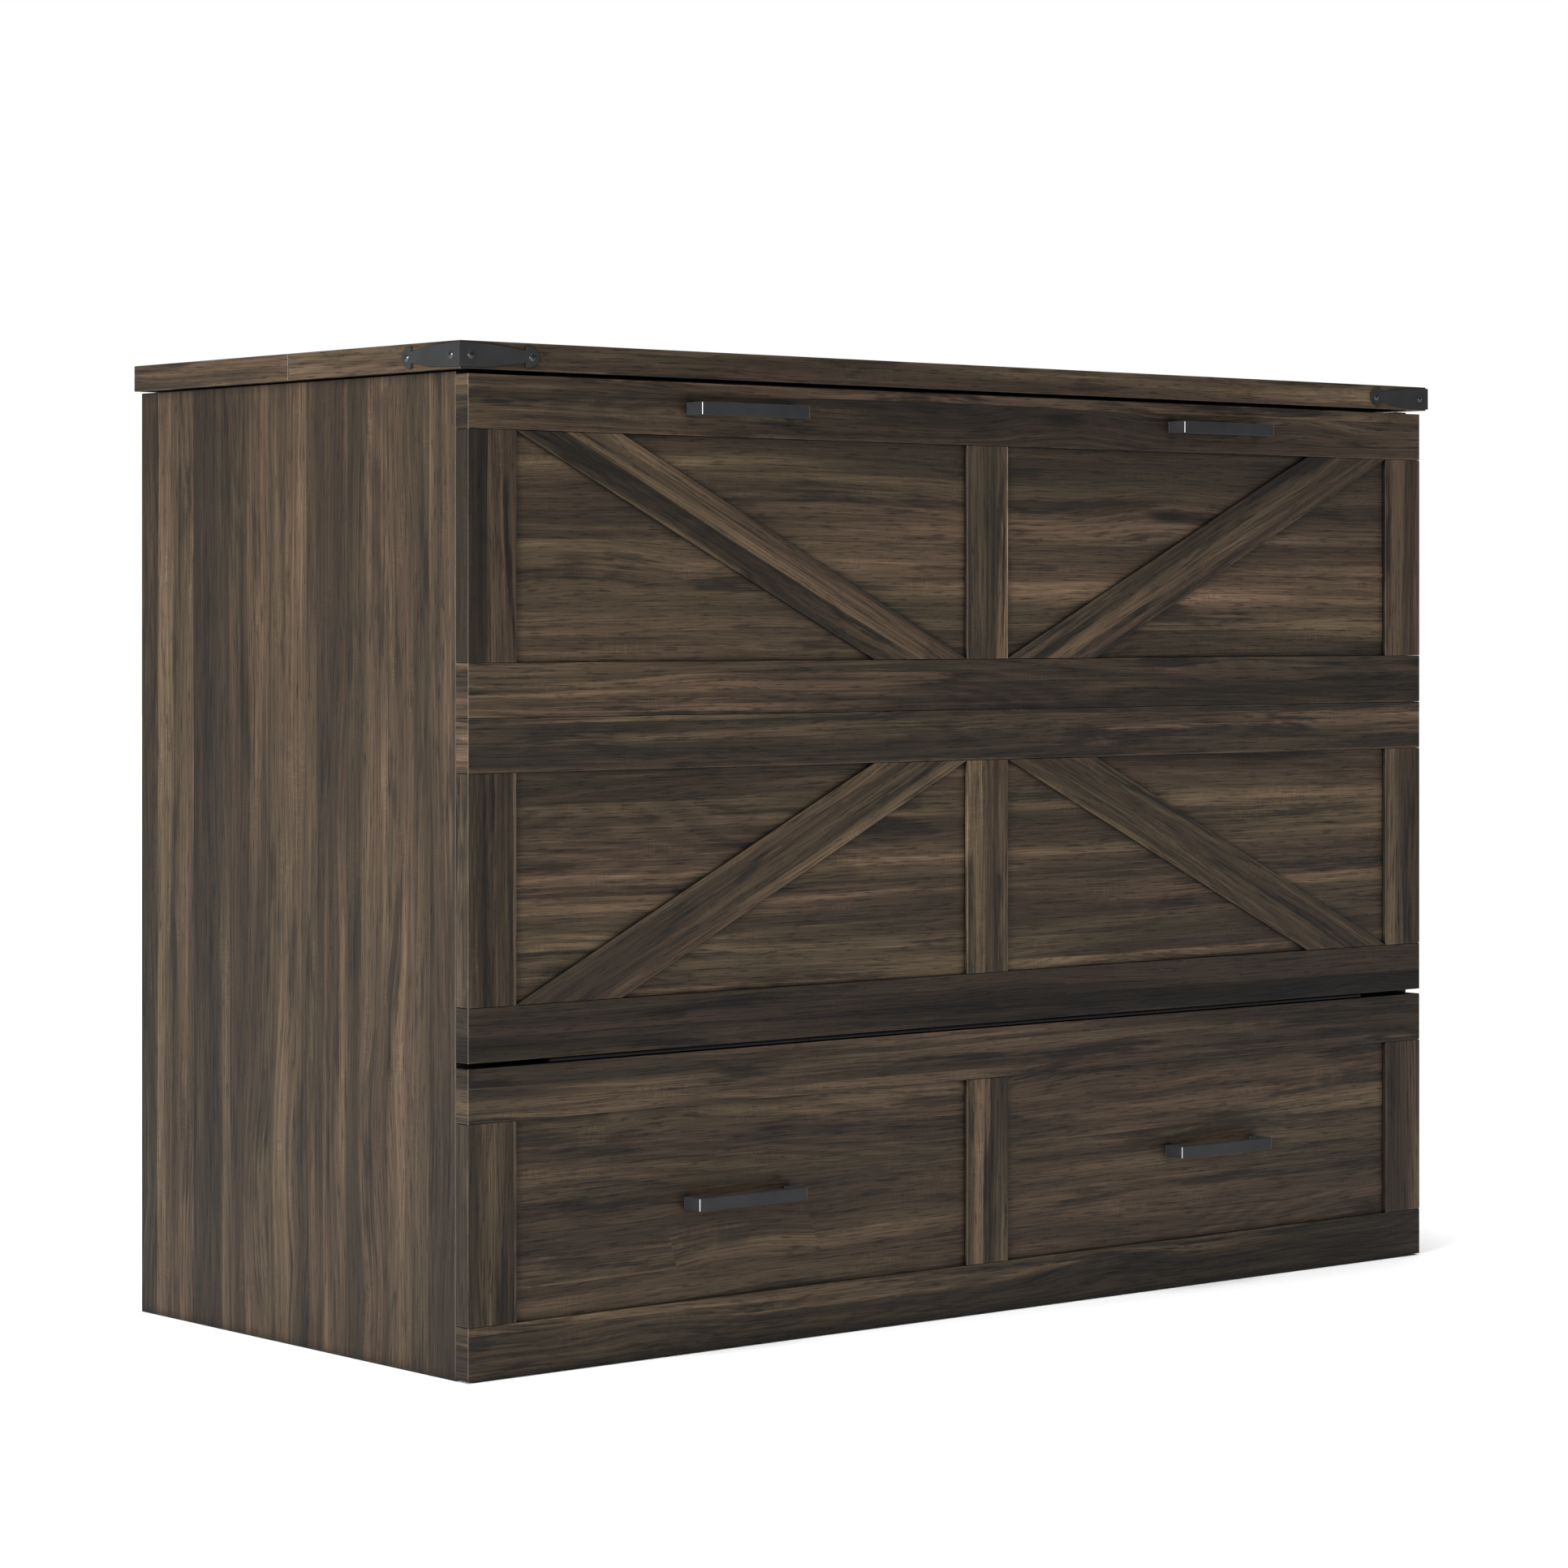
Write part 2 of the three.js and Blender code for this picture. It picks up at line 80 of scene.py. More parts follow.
class Nodes:
    """Adds shader nodes in short calls. A value is a number, a tuple or another node's output."""

    def __init__(self, tree):
        self.tree = tree

    def add(self, kind, values=None, **settings):
        node = self.tree.nodes.new("ShaderNode" + kind)
        for key, value in settings.items():
            setattr(node, key, value)
        for key, value in (values or {}).items():
            if isinstance(value, bpy.types.NodeSocket):
                self.tree.links.new(value, node.inputs[key])
            else:
                node.inputs[key].default_value = value
        return node

    def math(self, operation, *values, clamp=False):
        node = self.add("Math", dict(enumerate(values)), operation=operation, use_clamp=clamp)
        return node.outputs[0]

    def vector(self, operation, *values):
        values = {slot: value for slot, value in enumerate(values) if value is not None}
        return self.add("VectorMath", values, operation=operation).outputs[0]

    def remap(self, value, low, high, to_low=0.0, to_high=1.0):
        values = {0: value, 1: low, 2: high, 3: to_low, 4: to_high}
        return self.add("MapRange", values, interpolation_type="SMOOTHSTEP").outputs[0]

    def noise(self, place, stretch, detail=2.0, roughness=0.5, distortion=0.0):
        scaled = self.vector("MULTIPLY", place, stretch)
        values = {"Vector": scaled, "Scale": 1.0, "Detail": detail, "Roughness": roughness,
                  "Distortion": distortion}
        return self.add("TexNoise", values).outputs[0]

    def mix(self, factor, a, b, blend="MIX"):
        node = self.add("Mix", data_type="RGBA", blend_type=blend)
        for socket, value in ((node.inputs[0], factor), (node.inputs[6], a), (node.inputs[7], b)):
            if isinstance(value, bpy.types.NodeSocket):
                self.tree.links.new(value, socket)
            else:
                socket.default_value = (*value, 1.0) if isinstance(value, tuple) else value
        return node.outputs[2]

    def ramp(self, factor, stops):
        node = self.add("ValToRGB", {0: factor})
        elements = node.color_ramp.elements
        while len(elements) < len(stops):
            elements.new(0.5)
        for element, (place, colour) in zip(elements, stops):
            element.position = place
            element.color = (*colour, 1.0)
        return node.outputs[0]


def group(name, inputs, outputs):
    tree = bpy.data.node_groups.new(name, "ShaderNodeTree")
    for socket, kind in inputs.items():
        tree.interface.new_socket(socket, in_out="INPUT", socket_type="NodeSocket" + kind)
    for socket, kind in outputs.items():
        tree.interface.new_socket(socket, in_out="OUTPUT", socket_type="NodeSocket" + kind)
    n = Nodes(tree)
    entry = tree.nodes.new("NodeGroupInput").outputs
    leave = tree.nodes.new("NodeGroupOutput").inputs
    return n, entry, leave


def wood_group():
    """Stained, brushed wood. Local is the place in the board along, across and through the grain."""
    n, entry, leave = group(
        "wood",
        {"Local": "Vector", "Normal": "Vector", "Half": "Vector", "Offset": "Vector", "Tone": "Float",
         "Planks": "Float", "Level": "Vector", "Ends": "Float", "Contrast": "Float"},
        {"Color": "Color", "Roughness": "Float", "Height": "Float"},
    )
    link = n.tree.links.new
    local = n.add("SeparateXYZ", {0: entry["Local"]}).outputs
    # On the ends the print runs along the side of the board that is level.
    depth = n.math("MULTIPLY", n.math("SUBTRACT", local[2], local[1]), entry["Ends"])
    lengthwise = n.math("ADD", local[1], depth)
    sideways = n.math("SUBTRACT", local[2], depth)
    turned = n.add("CombineXYZ", {0: lengthwise, 1: sideways, 2: local[0]}).outputs[0]
    normal = n.add("SeparateXYZ", {0: entry["Normal"]}).outputs
    on_end = n.math("GREATER_THAN", n.math("ABSOLUTE", normal[0]), 0.7)
    pick = n.add("Mix", data_type="VECTOR")
    link(on_end, pick.inputs[0])
    link(entry["Local"], pick.inputs[4])
    link(turned, pick.inputs[5])
    place = n.vector("ADD", pick.outputs[1], entry["Offset"])

    # The print's planks: each has its own stain and its own stretch of grain.
    parts = n.add("SeparateXYZ", {0: place}).outputs
    ragged = n.noise(place, (3.0, 12.0, 12.0), 2.0)
    plank_place = n.math("ADD", parts[1], n.math("MULTIPLY", n.math("SUBTRACT", ragged, 0.5), 0.012))
    plank = n.math("FLOOR", n.math("DIVIDE", plank_place, entry["Planks"]))
    stain = n.add("TexWhiteNoise", {"W": plank}, noise_dimensions="1D").outputs["Value"]
    jump = n.add("CombineXYZ", {0: n.math("MULTIPLY", stain, 7.0), 1: n.math("MULTIPLY", stain, 3.0)})
    place = n.vector("ADD", place, jump.outputs[0])

    # Knots push the grain round them.
    scaled = n.vector("MULTIPLY", place, (2.6, 8.5, 8.5))
    cells = n.add("TexVoronoi", {"Vector": scaled, "Scale": 1.0, "Randomness": 0.9})
    chosen = n.math("GREATER_THAN", n.add("SeparateColor", {0: cells.outputs["Color"]}).outputs[0], 0.6)
    distance = cells.outputs["Distance"]
    knot = n.math("MULTIPLY", n.remap(distance, 0.05, 0.14, 1.0, 0.0), chosen)
    halo = n.math("MULTIPLY", n.remap(distance, 0.1, 0.5, 1.0, 0.0), chosen)

    # The grain wanders from side to side on its way along the board.
    wander = n.math("MULTIPLY", n.math("SUBTRACT", n.noise(place, (0.9, 6.0, 6.0), 1.0), 0.5), 0.04)
    ripple = n.math("MULTIPLY", n.math("SUBTRACT", n.noise(place, (6.0, 30.0, 30.0), 1.0), 0.5), 0.004)
    shift = n.math("ADD", n.math("ADD", wander, ripple), n.math("MULTIPLY", halo, 0.012))
    grain = n.vector("ADD", place, n.add("CombineXYZ", {1: shift}).outputs[0])

    broad = n.remap(n.noise(grain, (0.7, 15.0, 15.0), 2.0), 0.34, 0.66)
    streak = n.remap(n.noise(grain, (1.6, 60.0, 60.0), 3.0, 0.6), 0.32, 0.68)
    line = n.remap(n.noise(grain, (2.6, 230.0, 230.0), 3.0, 0.62), 0.32, 0.68)
    fibre = n.remap(n.noise(grain, (11.0, 640.0, 640.0), 2.0, 0.7), 0.28, 0.72)
    tick = n.remap(n.noise(grain, (28.0, 420.0, 420.0), 2.0, 0.6), 0.57, 0.64)
    cloud = n.noise(grain, (3.6, 30.0, 30.0), 4.0, 0.68)
    smudge = n.remap(n.math("ADD", cloud, n.math("MULTIPLY", line, -0.05)), 0.52, 0.64)

    # Contours of a long, slow swell make arched growth rings, in some planks only.
    swell = n.noise(place, (1.5, 11.0, 11.0), 1.0, 0.4)
    ring = n.math("PINGPONG", n.math("MULTIPLY", n.math("ADD", swell, shift), 17.0), 0.5)
    arched = n.remap(n.noise(place, (0.8, 7.0, 7.0), 0.0), 0.45, 0.6)
    ring = n.math("MULTIPLY", n.remap(ring, 0.12, 0.4, 1.0, 0.0), arched)

    # Saw marks: short ticks across the grain, in patches.
    chatter = n.math("MULTIPLY", n.remap(n.noise(place, (330.0, 60.0, 60.0), 1.0), 0.45, 0.65),
                     n.remap(n.noise(place, (9.0, 34.0, 34.0), 1.0), 0.54, 0.68))

    level = n.math("MULTIPLY_ADD", stain, 0.32, 0.04)
    level = n.math("MULTIPLY_ADD", broad, 0.2, level)
    level = n.math("ADD", level, n.math("MULTIPLY", streak, n.math("MULTIPLY_ADD", broad, 0.24, 0.12)))
    level = n.math("MULTIPLY_ADD", line, 0.15, n.math("ADD", level, 0.035))
    level = n.math("MULTIPLY_ADD", smudge, -0.3, level)
    level = n.math("MULTIPLY_ADD", n.math("SUBTRACT", level, MID_STAIN), entry["Contrast"], MID_STAIN)
    colour = n.ramp(level, STAIN)
    tint = n.remap(n.noise(grain, (0.9, 18.0, 18.0), 1.0), 0.35, 0.65)
    colour = n.mix(1.0, colour, n.mix(tint, *TINTS), "MULTIPLY")

    # Fibres, pores, knots and pale edges scale the stain; the edges are paler partly from wear and partly as
    # a painted highlight.
    factor = n.math("MULTIPLY_ADD", fibre, 0.54, 0.74)
    factor = n.math("MULTIPLY", factor, n.math("MULTIPLY_ADD", tick, -0.5, 1.0))
    factor = n.math("MULTIPLY", factor, n.math("MULTIPLY_ADD", ring, -0.24, 1.0))
    factor = n.math("MULTIPLY", factor, n.math("MULTIPLY_ADD", knot, -0.6, 1.0))
    factor = n.math("MULTIPLY", factor, n.math("MULTIPLY_ADD", chatter, 0.22, 1.0))
    inside = n.vector("SUBTRACT", entry["Half"], n.vector("ABSOLUTE", entry["Local"]))
    a, b, c = n.add("SeparateXYZ", {0: inside}).outputs
    least = n.math("MINIMUM", n.math("MINIMUM", a, b), c)
    most = n.math("MAXIMUM", n.math("MAXIMUM", a, b), c)
    total = n.math("ADD", n.math("ADD", a, b), c)
    from_edge = n.math("SUBTRACT", n.math("SUBTRACT", total, least), most)
    pale_edge_band = n.remap(from_edge, 0.0004, 0.0016, 1.0, 0.0)
    wear_and_highlight = n.math("MULTIPLY", pale_edge_band, n.remap(streak, 0.1, 0.9, 0.35, 1.0))
    factor = n.math("MULTIPLY", factor, n.math("MULTIPLY_ADD", wear_and_highlight, 0.3, 1.0))
    # A painted highlight: the pale colour shows where upright edges are rounded.
    beside = n.add("SeparateXYZ", {0: n.vector("MULTIPLY", inside, entry["Level"])}).outputs
    upright = n.math("MAXIMUM", n.math("MAXIMUM", beside[0], beside[1]), beside[2])
    facing = [n.math("ABSOLUTE", side) for side in normal]
    squareness = n.math("MAXIMUM", n.math("MAXIMUM", facing[0], facing[1]), facing[2])
    rounded = n.remap(squareness, 0.84, 0.96, 0.7, 0.0)
    painted_edge_highlight = n.math("MULTIPLY", n.remap(upright, 0.0008, 0.0014, 1.0, 0.0), rounded)
    factor = n.math("MULTIPLY", factor, n.math("MULTIPLY_ADD", on_end, -0.2, 1.0))
    factor = n.math("MULTIPLY", factor, entry["Tone"])
    # Painted shade: ambient occlusion darkens the colour in recesses and narrow gaps.
    painted_crevice_shade = n.add("AmbientOcclusion", {"Distance": 0.014}, samples=4).outputs["AO"]
    painted_crevice_shade = n.remap(painted_crevice_shade, 0.4, 0.97, 0.12, 1.0)
    colour = n.vector("SCALE", colour, None, None, factor)
    colour = n.mix(painted_edge_highlight, colour, PAINTED_EDGE_HIGHLIGHT)
    link(n.vector("SCALE", colour, None, None, painted_crevice_shade), leave["Color"])
    rough = n.remap(fibre, 0.0, 1.0, 0.62, 0.46)
    link(n.math("MULTIPLY_ADD", n.math("MAXIMUM", wear_and_highlight, painted_edge_highlight), -0.2, rough), leave["Roughness"])
    height = n.math("SUBTRACT", fibre, n.math("MULTIPLY", tick, 1.2))
    link(height, leave["Height"])
    return n.tree


def stretch(node, axis):
    """The lowest and highest place of a CAD node's vertices along an axis."""
    places = [axis.dot(v.co) for v in nodes[node].data.vertices]
    return min(places), max(places)


def brace_direction(node):
    """The direction that a brace runs in, from the middle of its foot to the middle of its top."""
    low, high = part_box(node)
    ends = []
    for level in (low.z, high.z):
        xs = [v.co.x for v in nodes[node].data.vertices if abs(v.co.z - level) < 1e-4]
        ends.append(Vector(((min(xs) + max(xs)) / 2, 0, level)))
    return (ends[1] - ends[0]).normalized()


def principled(name):
    material = bpy.data.materials.new(name)
    material.use_nodes = True
    material.node_tree.nodes.clear()
    n = Nodes(material.node_tree)
    shader = n.add("BsdfPrincipled")
    n.add("OutputMaterial", {"Surface": shader.outputs[0]})
    return material, n, shader


def wood(node, grain, tree):
    low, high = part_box(node)
    size = high - low
    through = min((X, Y, Z), key=lambda axis: abs(axis.dot(size)))
    across = through.cross(grain).normalized()
    axes = (grain, across, through)
    spans = [stretch(node, axis) for axis in axes]
    centre = sum((axis * (lo + hi) / 2 for axis, (lo, hi) in zip(axes, spans)), Vector())
    turn = Matrix(axes).transposed().to_euler()
    draw = random.Random(node)
    material, n, shader = principled("wood_" + node)
    at = n.add("TexCoord").outputs
    local = n.add("Mapping", {0: at["Object"], 1: centre, 2: turn}, vector_type="TEXTURE")
    normal = n.add("Mapping", {0: at["Normal"], 2: turn}, vector_type="TEXTURE")
    grains = n.tree.nodes.new("ShaderNodeGroup")
    grains.node_tree = tree
    n.tree.links.new(local.outputs[0], grains.inputs["Local"])
    n.tree.links.new(normal.outputs[0], grains.inputs["Normal"])
    grains.inputs["Half"].default_value = [(hi - lo) / 2 for lo, hi in spans]
    grains.inputs["Offset"].default_value = [draw.uniform(0, 9) for _ in axes]
    grains.inputs["Tone"].default_value = TONES.get(node, 1.0)
    planks, contrast = next(look for word, look in PRINTS.items() if word in node)
    grains.inputs["Planks"].default_value = planks
    grains.inputs["Contrast"].default_value = contrast
    level = [1 - round(abs(axis.z)) for axis in axes]
    grains.inputs["Level"].default_value = level
    grains.inputs["Ends"].default_value = 1 - level[1]
    bump = n.add("Bump", {"Strength": 0.3, "Distance": 0.0005, "Height": grains.outputs["Height"]})
    n.tree.links.new(grains.outputs["Color"], shader.inputs["Base Color"])
    n.tree.links.new(grains.outputs["Roughness"], shader.inputs["Roughness"])
    n.tree.links.new(bump.outputs[0], shader.inputs["Normal"])
    shader.inputs["Specular IOR Level"].default_value = 0.18
    return material


def metal(name, colour, roughness, metallic, speck, gloss=0.1, wear_and_highlight=None):
    """Powder-coated or plated metal with a fine grain, slightly uneven colour and, where a pale colour is
    given, rounded upright edges painted pale as a highlight.
    """
    material, n, shader = principled(name)
    place = n.add("TexCoord").outputs["Object"]
    grain = n.noise(place, (speck, speck, speck), 2.0)
    cloud = n.noise(place, (30.0, 30.0, 30.0), 3.0)
    tint = n.remap(n.math("ADD", n.math("MULTIPLY", grain, 0.4), n.math("MULTIPLY", cloud, 0.6)), 0.3, 0.7)
    dark, light = (tuple(c * k for c in colour) for k in (0.82, 1.2))
    coat = n.mix(tint, dark, light)
    # Painted highlight: the given pale colour on the rounded upright edges.
    if wear_and_highlight:
        normal = n.add("SeparateXYZ", {0: n.add("TexCoord").outputs["Normal"]}).outputs
        facing = [n.math("ABSOLUTE", side) for side in normal]
        rounded = n.remap(n.math("MAXIMUM", facing[0], facing[1]), 0.8, 0.96, 1.0, 0.0)
        upright = n.remap(facing[2], 0.1, 0.3, 1.0, 0.0)
        coat = n.mix(n.math("MULTIPLY", rounded, upright), coat, wear_and_highlight)
    n.tree.links.new(coat, shader.inputs["Base Color"])
    n.tree.links.new(n.remap(grain, 0.3, 0.7, roughness - 0.06, roughness + 0.08), shader.inputs["Roughness"])
    bump = n.add("Bump", {"Strength": 0.15, "Distance": 0.0002, "Height": grain})
    n.tree.links.new(bump.outputs[0], shader.inputs["Normal"])
    shader.inputs["Metallic"].default_value = metallic
    if not metallic:
        shader.inputs["Specular IOR Level"].default_value = 0.12
        shader.inputs["Coat Weight"].default_value = gloss
        shader.inputs["Coat Roughness"].default_value = 0.06
    return material


def soften(node, width, segments=2):
    """Rounds a CAD node's sharp edges, with modifiers only."""
    obj = nodes[node]
    weld = obj.modifiers.new("weld", "WELD")
    weld.merge_threshold = 0.00002
    bevel = obj.modifiers.new("bevel", "BEVEL")
    bevel.width = width
    bevel.segments = segments
    bevel.limit_method = "ANGLE"
    bevel.angle_limit = math.radians(35)
    normals = obj.modifiers.new("normals", "WEIGHTED_NORMAL")
    normals.keep_sharp = False
    normals.weight = 100


def paint(node, material):
    obj = nodes[node]
    obj.data.materials.clear()
    obj.data.materials.append(material)


def ticking():
    """Knitted mattress cover: fine loops in offset rows, with a soft sheen."""
    material, n, shader = principled("ticking")
    place = n.add("TexCoord").outputs["Object"]
    x, y, z = n.add("SeparateXYZ", {0: place}).outputs
    row = n.math("FLOOR", n.math("DIVIDE", z, LOOP * 0.8))
    across = n.math("ADD", n.math("ADD", x, y), n.math("MULTIPLY", n.math("MODULO", row, 2.0), LOOP / 2))
    arch = n.math("ABSOLUTE", n.math("SINE", n.math("MULTIPLY", across, math.pi / LOOP)))
    rise = n.math("ABSOLUTE", n.math("SINE", n.math("MULTIPLY", z, math.pi / (LOOP * 0.8))))
    knit = n.math("MULTIPLY", n.math("SQRT", arch), n.math("SQRT", rise))
    slub = n.noise(place, (140.0, 140.0, 700.0), 2.0)
    soil = n.noise(place, (3.0, 3.0, 3.0), 3.0)
    thick = n.math("MULTIPLY_ADD", slub, 0.2, 0.9)
    shade = n.math("MULTIPLY", n.math("MULTIPLY_ADD", knit, 0.25, 0.75), thick)
    colour = n.mix(n.remap(soil, 0.35, 0.65), (0.66, 0.645, 0.60), (0.74, 0.73, 0.70))
    scale = n.add("CombineXYZ", {0: shade, 1: shade, 2: shade}).outputs[0]
    n.tree.links.new(n.vector("MULTIPLY", colour, scale), shader.inputs["Base Color"])
    n.tree.links.new(n.remap(slub, 0.3, 0.7, 0.82, 0.95), shader.inputs["Roughness"])
    bump = n.add("Bump", {"Strength": 0.5, "Distance": 0.0006, "Height": n.math("ADD", knit, slub)})
    n.tree.links.new(bump.outputs[0], shader.inputs["Normal"])
    shader.inputs["Sheen Weight"].default_value = 0.25
    shader.inputs["Sheen Roughness"].default_value = 0.5
    return material


def new_object(name, mesh):
    obj = bpy.data.objects.new(name, mesh)
    bpy.context.scene.collection.objects.link(obj)
    return obj


def evaluated(obj):
    """A copy of an object's mesh with its modifiers applied."""
    depsgraph = bpy.context.evaluated_depsgraph_get()
    return bpy.data.meshes.new_from_object(obj.evaluated_get(depsgraph))


def vertex_places(mesh):
    places = np.empty(len(mesh.vertices) * 3)
    mesh.vertices.foreach_get("co", places)
    return places.reshape(-1, 3)


def block(size, inset, radius):
    """A rounded block of that size less the inset, about the origin."""
    bm = bmesh.new()
    bmesh.ops.create_cube(bm, size=1.0)
    bmesh.ops.scale(bm, vec=[s - 2 * inset for s in size], verts=bm.verts)
    bmesh.ops.bevel(bm, geom=list(bm.edges), offset=radius, segments=4, profile=0.5, affect="EDGES")
    mesh = bpy.data.meshes.new("block")
    bm.to_mesh(mesh)
    bm.free()
    return mesh


def inflate(size):
    """A foam section's cover after its filling has pushed it out, about the origin."""
    obj = new_object("section", block(size, FOAM_INSET, FOAM_RADIUS))
    remesh = obj.modifiers.new("remesh", "REMESH")
    remesh.mode = "VOXEL"
    remesh.voxel_size = VOXEL
    mesh = evaluated(obj)
    obj.modifiers.clear()
    obj.data = mesh
    start = vertex_places(mesh)
    cloth = obj.modifiers.new("cloth", "CLOTH")
    cloth.settings.use_pressure = True
    cloth.settings.uniform_pressure_force = PRESSURE
    cloth.settings.effector_weights.gravity = 0.0
    cloth.settings.mass = COVER_MASS
    cloth.point_cache.frame_start = 1
    cloth.point_cache.frame_end = SIM_FRAMES
    for step in range(1, SIM_FRAMES + 1):
        bpy.context.scene.frame_set(step)
    mesh = evaluated(obj)
    obj.modifiers.clear()
    obj.data = mesh
    bpy.context.scene.frame_set(1)
    half = np.array(size) / 2 - CLEARANCE
    moved = vertex_places(mesh) - start
    length = np.linalg.norm(moved, axis=1, keepdims=True)
    moved *= np.minimum(1.0, SWELL / np.maximum(length, 1e-9))
    mesh.vertices.foreach_set("co", np.clip(start + moved, -half, half).ravel())
    mesh.update()
    subdivide = obj.modifiers.new("subdivide", "SUBSURF")
    subdivide.levels = subdivide.render_levels = 1
    mesh = evaluated(obj)
    bpy.data.objects.remove(obj)
    return mesh


def quilt(mesh, size):
    """Sews diamond channels into the two broad faces and a groove beside each edge tape."""
    count = len(mesh.vertices)
    places, normals = vertex_places(mesh), np.empty(count * 3)
    mesh.vertex_normals.foreach_get("vector", normals)
    normals = normals.reshape(-1, 3)
    x, y, z = places.T
    broad = np.abs(normals[:, 1])
    channel = np.zeros(count)
    for run in (x + z, x - z):
        from_line = ((run / QUILT + 0.5) % 1.0 - 0.5) * QUILT
        channel = np.maximum(channel, np.exp(-((from_line / QUILT_WIDTH) ** 2)))
    # The channels die out before the edge tapes.
    from_rim = np.minimum(size[0] / 2 - np.abs(x), size[2] / 2 - np.abs(z))
    channel *= np.clip((from_rim - RIM_PLAIN) / RIM_FADE, 0, 1)
    level = size[1] / 2 - TAPE_IN
    groove = np.exp(-(((np.abs(y) - level) / TAPE_WIDTH) ** 2)) * (1 - broad)
    depth = QUILT_DEPTH * channel * np.clip(broad - 0.4, 0, 1) / 0.6 + TAPE_DEPTH * groove
    mesh.vertices.foreach_set("co", (places - normals * depth[:, None]).ravel())
    mesh.update()


def tape(mesh, size, side):
    """The path of a round edge tape sewn round a section beside one broad face."""
    tree = BVHTree.FromPolygons([v.co for v in mesh.vertices], [p.vertices for p in mesh.polygons])
    level = side * (size[1] / 2 - TAPE_IN)
    half_x, half_z = size[0] / 2, size[2] / 2
    straight_x, straight_z = half_x - TAPE_TURN, half_z - TAPE_TURN
    path = []
    for i in range(TAPE_STEPS):
        angle = 2 * math.pi * i / TAPE_STEPS
        c, s = math.cos(angle), math.sin(angle)
        aim_x = math.copysign(abs(c) ** TAPE_SQUARE, c) * straight_x
        aim_z = math.copysign(abs(s) ** TAPE_SQUARE, s) * straight_z
        aim = Vector((aim_x, level, aim_z))
        out = Vector((c, 0, s))
        far = Vector((aim.x + out.x, level, aim.z + out.z))
        hit = tree.ray_cast(far, -out)[0]
        path.append(hit if hit else aim)
    return path


def tube(name, path, radius, sides=8):
    """A closed tube of round section along a closed path."""
    bm = bmesh.new()
    rings = []
    count = len(path)
    for i, place in enumerate(path):
        ahead = (path[(i + 1) % count] - path[i - 1]).normalized()
        side = ahead.cross(Y).normalized()
        up = side.cross(ahead)
        ring = []
        for k in range(sides):
            turn = 2 * math.pi * k / sides
            ring.append(bm.verts.new(place + (side * math.cos(turn) + up * math.sin(turn)) * radius))
        rings.append(ring)
    for i, ring in enumerate(rings):
        after = rings[(i + 1) % count]
        for k in range(sides):
            bm.faces.new((ring[k], ring[(k + 1) % sides], after[(k + 1) % sides], after[k]))
    bmesh.ops.recalc_face_normals(bm, faces=bm.faces)
    mesh = bpy.data.meshes.new(name)
    bm.to_mesh(mesh)
    bm.free()
    mesh.shade_smooth()
    return new_object(name, mesh)


def mattress():
    cover = ticking()
    piping = metal("edge_tape", (0.30, 0.29, 0.27), 0.8, 0.0, 1500.0)
    low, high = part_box("mattress_rear")
    size = high - low
    section = inflate(size)
    quilt(section, size)
    section.shade_smooth()
    paths = [tape(section, size, side) for side in (-1, 1)]
    for place, flip in (("rear", 1), ("middle", -1), ("front", 1)):
        node = "mattress_" + place
        low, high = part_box(node)
        centre = (low + high) / 2
        turn = Matrix.Rotation(0.0 if flip > 0 else math.pi, 4, "Z")
        mesh = section.copy()
        mesh.transform(Matrix.Translation(centre) @ turn)
        cushion = new_object("section_" + place, mesh)
        mesh.materials.append(cover)
        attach(cushion, "carcass")
        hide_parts(node)
        for side, path in zip(("front", "back"), paths):
            bead = tube(f"tape_{place}_{side}", [centre + (turn @ p) for p in path], TAPE_RADIUS)
            bead.data.materials.append(piping)
            bead.parent = cushion


def add_box(bm, low, high):
    made = bmesh.ops.create_cube(bm, size=1.0)["verts"]
    for vertex in made:
        vertex.co = [lo if c < 0 else hi for c, lo, hi in zip(vertex.co, low, high)]


def piece(name, bm, body, material, bevel=0.0004):
    """Makes an object of a bmesh: its edges are rounded and it rides on a body."""
    bmesh.ops.recalc_face_normals(bm, faces=bm.faces)
    mesh = bpy.data.meshes.new(name)
    bm.to_mesh(mesh)
    bm.free()
    mesh.materials.append(material)
    obj = new_object(name, mesh)
    if bevel:
        rounding = obj.modifiers.new("bevel", "BEVEL")
        rounding.width = bevel
        rounding.segments = 2
        rounding.limit_method = "ANGLE"
    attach(obj, body)
    return obj


def screws(name, body, places, out, material, slot, radius=0.0035, dome=0.0003):
    """Crosshead screws whose heads face out: a dome with a cross pressed into it."""
    bm = bmesh.new()
    turn = out.to_track_quat("Z", "Y").to_matrix()
    for place in places:
        rings = []
        for k in range(SCREW_RINGS + 1):
            r = radius * (k + 0.5) / (SCREW_RINGS + 0.5)
            ring = []
            for i in range(SCREW_SIDES):
                angle = 2 * math.pi * i / SCREW_SIDES
                x, y = r * math.cos(angle), r * math.sin(angle)
                in_cross = min(abs(x), abs(y)) < radius * 0.14 and r < radius * 0.6
                z = dome * (1 - (r / radius) ** 2) - (radius * 0.35 if in_cross else 0.0)
                ring.append(bm.verts.new(place + turn @ Vector((x, y, z))))
            rings.append(ring)
        rings.append([bm.verts.new(v.co - out * SCREW_SUNK) for v in rings[-1]])
        bm.faces.new(rings[0])
        bm.faces.new(list(reversed(rings[-1])))
        for inner, outer in zip(rings, rings[1:]):
            for i in range(SCREW_SIDES):
                j = (i + 1) % SCREW_SIDES
                bm.faces.new((inner[i], outer[i], outer[j], inner[j]))
    return piece(name, bm, body, material, bevel=0)


